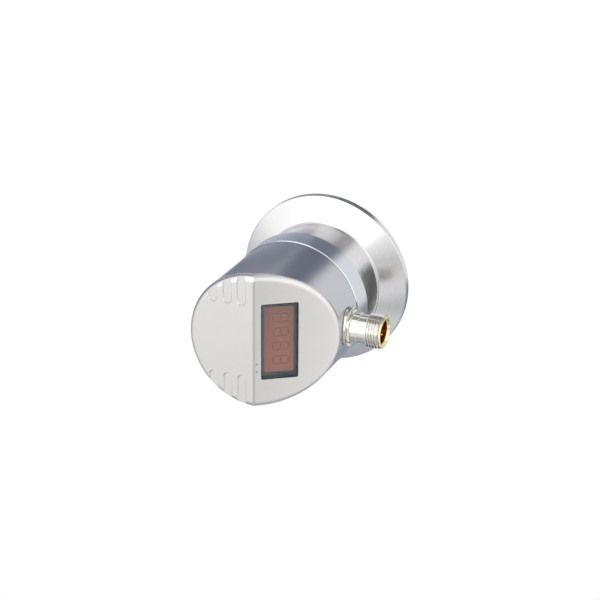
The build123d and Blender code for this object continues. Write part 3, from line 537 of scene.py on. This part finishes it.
# Where each step of the shell ends along X, from the can's wall outwards
BASE_END = HEAD_RADIUS + 0.9 * MM
HEX_END = BASE_END + 0.9 * MM
SHOULDER_END = HEX_END + 2.4 * MM
BARREL_END = SHOULDER_END + 3.2 * MM
CUP_FLOOR = SLEEVE_BOX[0].x

# The stem goes through the can's wall, and the cup in front of it holds the contacts
STEM_RADIUS = 3.9 * MM
STEM_BORE = 3.35 * MM
STEM_DEPTH = 5.0 * MM
CUP_BORE = 4.8 * MM

SHOULDER_RADIUS = 5.5 * MM
SHOULDER_EDGE = 0.1 * MM
BARREL_RADIUS = 5.2 * MM
END_BEVEL = 0.4 * MM
# How far the shoulder reaches back into the base, and the hexagon in under the shoulder's radius
SINK = 1.0 * MM
OVERLAP = 0.4 * MM

# The base stands this far off the can's wall, on its gasket, and its front edge is rounded
SADDLE = 0.3 * MM
ROUNDING = 0.3 * MM
ROUNDING_MIDDLE = 0.3 * ROUNDING

# Radii of the hexagon at its flats, at its front and at its turned corners, and its chamfer's length
HEX_FLAT = 6.0 * MM
HEX_FACE = 5.8 * MM
HEX_CORNER = 6.4 * MM
HEX_SLANT = 0.7 * (HEX_CORNER - HEX_FACE)
HEX_STEPS = 8

SHARP_ANGLE = math.radians(35)


def thread_radius(settings, along, turn):
    """Radius of the thread at a distance from its start and a share of a turn."""
    away = abs((along / settings.pitch - turn + 0.5) % 1.0 - 0.5)
    flank = min(max((away - CREST_END) / (ROOT_START - CREST_END), 0.0), 1.0)
    run_in = min(along, settings.length - along) / (RUN_IN * settings.pitch)
    return settings.radius - settings.depth * flank * min(max(run_in, 0.0), 1.0)


def ring_solid(mesh, segments, outline):
    """Closed solid round the connector's axis. outline gives (along X, radius) points at an angle."""
    rows = []
    for i in range(segments):
        angle = 2 * math.pi * i / segments
        rows.append([
            mesh.verts.new((x, r * math.cos(angle), AXIS_HEIGHT + r * math.sin(angle)))
            for x, r in outline(angle)])
    for row, other in zip(rows, rows[1:] + rows[:1]):
        for corners in zip(row, row[1:] + row[:1], other[1:] + other[:1], other):
            mesh.faces.new(corners)


def on_saddle(radius, angle):
    """Place along X where a ring of a radius meets the gasket on the can's round wall."""
    return math.sqrt((HEAD_RADIUS + SADDLE) ** 2 - (radius * math.cos(angle)) ** 2)


def base_outline(angle):
    """Round base that seats on the can's saddle gasket."""
    return [
        (on_saddle(SHOULDER_RADIUS, angle), SHOULDER_RADIUS),
        (on_saddle(BASE_RADIUS, angle), BASE_RADIUS),
        (BASE_END - ROUNDING, BASE_RADIUS),
        (BASE_END - ROUNDING_MIDDLE, BASE_RADIUS - ROUNDING_MIDDLE),
        (BASE_END, BASE_RADIUS - ROUNDING),
        (BASE_END, SHOULDER_RADIUS),
    ]


def hexagon_outline(angle):
    """Hexagon with its corners turned off and its front chamfered."""
    across = HEX_FLAT / math.cos((angle % (math.pi / 3)) - math.pi / 6)
    points = [(BASE_END, SHOULDER_RADIUS - OVERLAP), (BASE_END, min(across, HEX_CORNER))]
    for i in range(HEX_STEPS + 1):
        share = i / HEX_STEPS
        limit = HEX_CORNER + (HEX_FACE - HEX_CORNER) * share
        points.append((HEX_END - HEX_SLANT * (1 - share), min(across, limit)))
    points.append((HEX_END, SHOULDER_RADIUS - OVERLAP))
    return points


def barrel_outline(settings):
    """Shoulder, barrel, thread and bores in one turned piece."""
    steps = round(settings.length / settings.pitch * THREAD_STEPS)
    start = on_saddle(STEM_RADIUS, 0) - STEM_DEPTH
    end = BARREL_END + settings.length

    def outline(angle):
        turn = angle / (2 * math.pi)
        points = [
            (start, STEM_BORE),
            (start, STEM_RADIUS),
            (BASE_END - SINK, STEM_RADIUS),
            (BASE_END - SINK, SHOULDER_RADIUS),
            (SHOULDER_END - SHOULDER_EDGE, SHOULDER_RADIUS),
            (SHOULDER_END, SHOULDER_RADIUS - SHOULDER_EDGE),
            (SHOULDER_END, BARREL_RADIUS),
            (BARREL_END, BARREL_RADIUS),
        ]
        for i in range(1, steps):
            along = settings.length * i / steps
            points.append((BARREL_END + along, thread_radius(settings, along, turn)))
        points += [
            (end, settings.radius - END_BEVEL),
            (end, CUP_BORE),
            (CUP_FLOOR, CUP_BORE),
            (CUP_FLOOR, STEM_BORE),
        ]
        return points

    return outline


def finish_mesh(name, mesh):
    """Object from a bmesh, smooth but for its sharp edges."""
    bmesh.ops.recalc_face_normals(mesh, faces=mesh.faces)
    data = bpy.data.meshes.new(name)
    mesh.to_mesh(data)
    mesh.free()
    data.shade_smooth()
    data.set_sharp_from_angle(angle=SHARP_ANGLE)
    made = bpy.data.objects.new(name, data)
    bpy.context.scene.collection.objects.link(made)
    return made


# Studio

TARGET = Vector((0.0, 0.0, 50 * MM))
# How far the camera stands aside of the target, to its right and upwards
CAMERA_ASIDE = Vector((9.636 * MM, 9.097 * MM))
# Frame width and focal length in the photograph's pixels, and the sensor's width in millimetres
FRAME_PIXELS = 600
FOCAL_PIXELS = 1795.999
SENSOR = 36.0
CARD_STEPS = 24
# Each card's name, the bearings from +X in degrees where it starts and ends, the heights of its foot
# and top, the radii there, the brightness that a mirror shows of it, its tint, and the shares of it
# that fade at each end and at its foot and top
CARDS = [
    ("side_softbox", (-14, 62), (-0.12, 0.5), (0.4, 0.4), 1.5, "#FFFFFF", (0.2, 0.2)),
    ("rear_reflector", (115, 196), (0.22, 0.6), (0.4, 0.4), 1.35, "#FFFFFF", (0.2, 0.25)),
    ("front_reflector", (312, 352), (0.06, 0.42), (0.4, 0.4), 1.3, "#FFFFFF", (0.2, 0.2)),
    ("slope_card", (304, 366), (0.085, 0.155), (0.08, 0.08), 1.0, "#FEFDFE", (0.2, 0.25)),
    ("dark_skirt", (49, 118), (-0.215, 0.02), (0.11, 0.11), 0.36, "#CCD6EE", (0.25, 0.12)),
    ("rim_skirt", (54, 125), (-0.215, -0.13), (0.109, 0.109), 0.17, "#DCE2F0", (0.2, 0.12)),
    ("dark_side", (104, 197), (-0.125, 0.055), (0.111, 0.111), 0.35, "#CCD6EE", (0.12, 0.12)),
    ("grey_skirt", (104, 198), (-0.215, -0.1), (0.112, 0.112), 0.43, "#DCE4F8", (0.1, 0.1)),
    ("collar_band", (80, 250), (-0.139, -0.113), (0.108, 0.108), 0.95, "#E8EEF8", (0.5, 0.3)),
    ("left_reflector", (193, 236), (-0.215, -0.04), (0.112, 0.112), 2.6, "#F4F8FF", (0.25, 0.1)),
    ("shade_side", (230, 308), (-0.215, 0.06), (0.12, 0.12), 0.52, "#DCE8F4", (0.15, 0.12)),
    ("shade_skirt", (286, 338), (-0.215, -0.112), (0.119, 0.119), 0.3, "#DCE8F0", (0.15, 0.1)),
    ("horizon_side", (70, 262), (-0.12, 0.14), (0.4, 0.4), 0.42, "#F0F2FF", (0.15, 0.15)),
    ("horizon_front", (225, 316), (-0.02, 0.42), (0.41, 0.41), 0.6, "#F0F2FF", (0.2, 0.25)),
    ("overhead_card", (242, 366), (0.37, 0.56), (0.36, 0.1), 0.6, "#EEF4F6", (0.2, 0.15)),
    ("neck_flag_side", (304, 392), (0.009, 0.03), (0.06, 0.06), 0.04, "#F4F0DC", (0.22, 0.15)),
    ("neck_flag_top", (56, 79), (0.11, 0.17), (0.38, 0.38), 0.2, "#F4F0E8", (0.15, 0.15)),
    ("neck_reflector", (82, 164), (0.125, 0.27), (0.39, 0.39), 1.55, "#FFFFFF", (0.12, 0.12)),
    ("foot_reflector", (82, 168), (-0.012, 0.013), (0.08, 0.08), 1.4, "#FFFFFF", (0.1, 0.12)),
]
FLOOR_HALF = 2.0
FLOOR_FACES = 8
# Share of the floor's look that is plain white, so that only the rest takes the object's shadow
FLOOR_WHITE = 0.85


def direction(azimuth, elevation):
    """Unit vector from the object, with azimuth and elevation as the camera's are given, in radians."""
    flat = math.cos(elevation)
    return Vector((math.sin(azimuth) * flat, -math.cos(azimuth) * flat, math.sin(elevation)))


def place_camera(studio):
    """Camera at the studio's bearing and height, rolled about its view."""
    back = direction(studio.azimuth, studio.elevation)
    level = (-back).cross(Vector((0, 0, 1))).normalized()
    upright = level.cross(-back)
    right = math.cos(studio.roll) * level + math.sin(studio.roll) * upright
    up = -math.sin(studio.roll) * level + math.cos(studio.roll) * upright
    camera = bpy.data.objects.new("studio_camera", bpy.data.cameras.new("studio_camera"))
    camera.data.sensor_width = SENSOR
    camera.data.lens = SENSOR * FOCAL_PIXELS / FRAME_PIXELS
    place = Matrix((right, up, back)).transposed().to_4x4()
    place.translation = TARGET + CAMERA_ASIDE.x * right + CAMERA_ASIDE.y * up + studio.distance * back
    camera.matrix_world = place
    bpy.context.scene.collection.objects.link(camera)
    bpy.context.scene.camera = camera


def softbox(name, azimuth, elevation, distance, size, brightness):
    """Square area lamp that faces the target, its bearing and height in degrees.

    brightness is what a mirror shows of it, white at 1.
    """
    lamp = bpy.data.lights.new(name, "AREA")
    lamp.shape = "SQUARE"
    lamp.size = size
    lamp.energy = brightness * math.pi * size * size
    made = bpy.data.objects.new(name, lamp)
    away = direction(math.radians(azimuth), math.radians(elevation))
    made.location = TARGET + distance * away
    made.rotation_euler = away.to_track_quat("Z", "Y").to_euler()
    bpy.context.scene.collection.objects.link(made)


def card(name, sector, heights, radii, brightness, tint, feather):
    """Curved studio card round the object that only shows in reflections, fading out at its edges."""
    mesh = bmesh.new()
    uv = mesh.loops.layers.uv.new("card")
    rows = []
    for i in range(CARD_STEPS + 1):
        share = i / CARD_STEPS
        angle = math.radians(sector[0] + (sector[1] - sector[0]) * share)
        rows.append([
            (share, j, mesh.verts.new((radii[j] * math.cos(angle), radii[j] * math.sin(angle), heights[j])))
            for j in (0, 1)])
    for (a, b), (c, d) in zip(rows, rows[1:]):
        face = mesh.faces.new([corner[2] for corner in (a, c, d, b)])
        for loop, corner in zip(face.loops, (a, c, d, b)):
            loop[uv].uv = corner[:2]
    made = finish_mesh(name, mesh)
    made.visible_camera = False
    made.visible_diffuse = False
    made.visible_shadow = False
    made.visible_transmission = False
    dress(card_material(name, linear(tint), brightness, feather), name)


def card_material(name, tint, brightness, feather):
    """Evenly lit cloth that fades to nothing at its edges, so it is mirrored with a soft border."""
    material = bpy.data.materials.new(name + "_cloth")
    material.use_nodes = True
    tree = material.node_tree
    tree.nodes.clear()
    place = add(tree, "ShaderNodeTexCoord").outputs["UV"]
    parts = add(tree, "ShaderNodeSeparateXYZ", links={0: place})
    edges = []
    for axis, share in zip("XY", feather):
        for start, end in ((0.0, share), (1.0, 1.0 - share)):
            settings = {"interpolation_type": "SMOOTHSTEP", "From Min": start, "From Max": end}
            edges.append(add(tree, "ShaderNodeMapRange", settings, {"Value": parts.outputs[axis]}).outputs[0])
    while len(edges) > 1:
        pair = {0: edges.pop(), 1: edges.pop()}
        edges.append(add(tree, "ShaderNodeMath", {"operation": "MULTIPLY"}, pair).outputs[0])
    clear = add(tree, "ShaderNodeBsdfTransparent")
    lit = add(tree, "ShaderNodeEmission", {"Color": (*tint, 1), "Strength": brightness})
    mixed = add(tree, "ShaderNodeMixShader", links={0: edges[0], 1: clear.outputs[0], 2: lit.outputs[0]})
    add(tree, "ShaderNodeOutputMaterial", links={"Surface": mixed.outputs[0]})
    return material


def floor_material(studio):
    """Seamless paper: matt and pale, seen as white but for the object's shadow."""
    material = surface(
        "seamless_paper", studio.floor_colour, 0.01, (0.9, 1.0), lambda tree: grit(tree, 1.0), 0.01)
    tree = material.node_tree
    surface_in = node_of(tree, "OUTPUT_MATERIAL").inputs["Surface"]
    white = add(tree, "ShaderNodeEmission", {"Color": (1, 1, 1, 1), "Strength": 1.0})
    share = add(tree, "ShaderNodeMath", {"operation": "MULTIPLY", 1: FLOOR_WHITE}, {0: seen_ray(tree)})
    mixed = add(tree, "ShaderNodeMixShader", links={
        0: share.outputs[0], 1: surface_in.links[0].from_socket, 2: white.outputs[0]})
    tree.links.new(mixed.outputs[0], surface_in)
    return material


def seen_ray(tree):
    """1 for a ray that shows the background to the camera, in metal or through glass."""
    path = add(tree, "ShaderNodeLightPath")
    first = add(tree, "ShaderNodeMath", {"operation": "MAXIMUM"}, {
        0: path.outputs["Is Camera Ray"], 1: path.outputs["Is Glossy Ray"]})
    both = add(tree, "ShaderNodeMath", {"operation": "MAXIMUM"}, {
        0: first.outputs[0], 1: path.outputs["Is Transmission Ray"]})
    return both.outputs[0]


def studio_world(studio):
    """Even white world, a little weaker on the object than where it is seen."""
    world = bpy.data.worlds.new("studio_world")
    bpy.context.scene.world = world
    world.use_nodes = True
    tree = world.node_tree
    tree.nodes.clear()
    limits = {"To Min": studio.fill, "To Max": 1.0}
    strength = add(tree, "ShaderNodeMapRange", limits, {"Value": seen_ray(tree)})
    white = add(tree, "ShaderNodeBackground", {"Color": (1, 1, 1, 1)}, {"Strength": strength.outputs[0]})
    add(tree, "ShaderNodeOutputWorld", links={"Surface": white.outputs[0]})


# Operators

class TransmitterOperator:
    """Shared settings of the operators below."""

    bl_options = {"REGISTER", "UNDO"}

    @property
    def finish(self):
        return bpy.context.scene.transmitter_finish


class TRANSMITTER_OT_process_side(TransmitterOperator, bpy.types.Operator):
    """Finishes the flange, neck, collar, probe and sensor"""

    bl_idname = "transmitter.process_side"
    bl_label = "Flange, collar and probe"

    def execute(self, context):
        dress(turned_stainless(self.finish), "clamp_flange", "probe_sheath")
        dress(fine_turned_stainless(self.finish), "base_collar")
        dress(spring_steel(), "retaining_ring", "sensor_board_ring")
        dress(bright_steel(), "stop_pin", "board_screws")
        dress(alumina(), "sensor_element", "sensor_insulator")
        dress(tinned_wire(), "sensor_leads")
        dress(cable_jacket(), "swivel_cable")
        return {"FINISHED"}


class TRANSMITTER_OT_head(TransmitterOperator, bpy.types.Operator):
    """Finishes the drawn can and its closing ring"""

    bl_idname = "transmitter.head"
    bl_label = "Head can"

    def execute(self, context):
        dress(satin_drawn_stainless(self.finish), "head_can")
        dress(bpy.data.materials["fine_turned_stainless"], "head_ring")
        return {"FINISHED"}


class TRANSMITTER_OT_window(TransmitterOperator, bpy.types.Operator):
    """Finishes the display window from its gasket to the digits"""

    bl_idname = "transmitter.window"
    bl_label = "Display window"

    def execute(self, context):
        dress(nitrile_rubber(), "window_gasket", "swivel_seal")
        dress(clear_glass(), "window_pane")
        dress(border_print(self.finish), "display_mask")
        dress(tinted_filter(self.finish), "display_filter")
        dress(module_plastic(), "display_module")
        dress(segment_resin(), "display_digits")
        return {"FINISHED"}


class TRANSMITTER_OT_inside(TransmitterOperator, bpy.types.Operator):
    """Finishes the boards and what stands on them"""

    bl_idname = "transmitter.inside"
    bl_label = "Boards inside"

    def execute(self, context):
        dress(circuit_board(), "main_board", "display_board", "sensor_board", "connector_board")
        dress(epoxy_parts(), "board_components")
        dress(bare_brass(), "board_posts")
        dress(moulded_white(), "cable_plug", "connector_washer")
        dress(moulded_black(), "display_holder")
        dress(moulded_brown(), "contact_insert")
        dress(amber_foil(), "display_ribbon")
        return {"FINISHED"}


class TRANSMITTER_OT_connector(TransmitterOperator, bpy.types.Operator):
    """Makes the plug connector's shell with its thread cut, and finishes the connector"""

    bl_idname = "transmitter.connector"
    bl_label = "Plug connector"

    def execute(self, context):
        thread = context.scene.transmitter_thread
        mesh = bmesh.new()
        ring_solid(mesh, thread.segments, base_outline)
        ring_solid(mesh, thread.segments, hexagon_outline)
        ring_solid(mesh, thread.segments, barrel_outline(thread))
        shell = finish_mesh("threaded_shell", mesh)
        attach(shell, "head")
        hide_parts("connector_shell")
        plate = nickel_plate(self.finish)
        dress(plate, "threaded_shell", "connector_nut")
        # The gasket's near-white colour is partly painted light against the shade in the gap under the base
        dress(silicone_lightened_in_shade(), "connector_gasket")
        dress(gold_plate(self.finish), "connector_sleeve", "contact_pins")
        return {"FINISHED"}


class TRANSMITTER_OT_stage(TransmitterOperator, bpy.types.Operator):
    """Lays the floor and sets the lamp, the cards and the camera"""

    bl_idname = "transmitter.stage"
    bl_label = "Studio"

    def execute(self, context):
        studio = context.scene.transmitter_studio
        place_camera(studio)
        mesh = bmesh.new()
        bmesh.ops.create_grid(mesh, x_segments=FLOOR_FACES, y_segments=FLOOR_FACES, size=FLOOR_HALF)
        floor = finish_mesh("studio_floor", mesh)
        floor.location.z = -studio.floor_depth
        dress(floor_material(studio), "studio_floor")
        studio_world(studio)
        softbox("key_softbox", azimuth=220, elevation=62, distance=0.9, size=0.95, brightness=1.35)
        for row in CARDS:
            card(*row)
        return {"FINISHED"}


class TRANSMITTER_PT_sidebar(bpy.types.Panel):
    """Lists the transmitter's settings and its operators' buttons"""

    bl_label = "Temperature transmitter"
    bl_idname = "TRANSMITTER_PT_sidebar"
    bl_space_type = "VIEW_3D"
    bl_region_type = "UI"
    bl_category = "Transmitter"

    def draw(self, context):
        for group in ("transmitter_finish", "transmitter_thread", "transmitter_studio"):
            settings = getattr(context.scene, group)
            for name in settings.__annotations__:
                self.layout.prop(settings, name)
        for operator in OPERATORS:
            self.layout.operator(operator.bl_idname)


OPERATORS = [
    TRANSMITTER_OT_process_side,
    TRANSMITTER_OT_head,
    TRANSMITTER_OT_window,
    TRANSMITTER_OT_inside,
    TRANSMITTER_OT_connector,
    TRANSMITTER_OT_stage,
]
GROUPS = {
    "transmitter_finish": FinishSettings,
    "transmitter_thread": ThreadSettings,
    "transmitter_studio": StudioSettings,
}


def register():
    for made in [*GROUPS.values(), *OPERATORS, TRANSMITTER_PT_sidebar]:
        bpy.utils.register_class(made)
    for name, group in GROUPS.items():
        setattr(bpy.types.Scene, name, PointerProperty(type=group))


def unregister():
    for name in GROUPS:
        delattr(bpy.types.Scene, name)
    for made in [TRANSMITTER_PT_sidebar, *reversed(OPERATORS), *GROUPS.values()]:
        bpy.utils.unregister_class(made)


def main():
    register()
    bpy.context.scene.view_settings.view_transform = "Standard"
    bpy.ops.transmitter.process_side()
    bpy.ops.transmitter.head()
    bpy.ops.transmitter.window()
    bpy.ops.transmitter.inside()
    bpy.ops.transmitter.connector()
    bpy.ops.transmitter.stage()


if __name__ == "__main__":
    main()
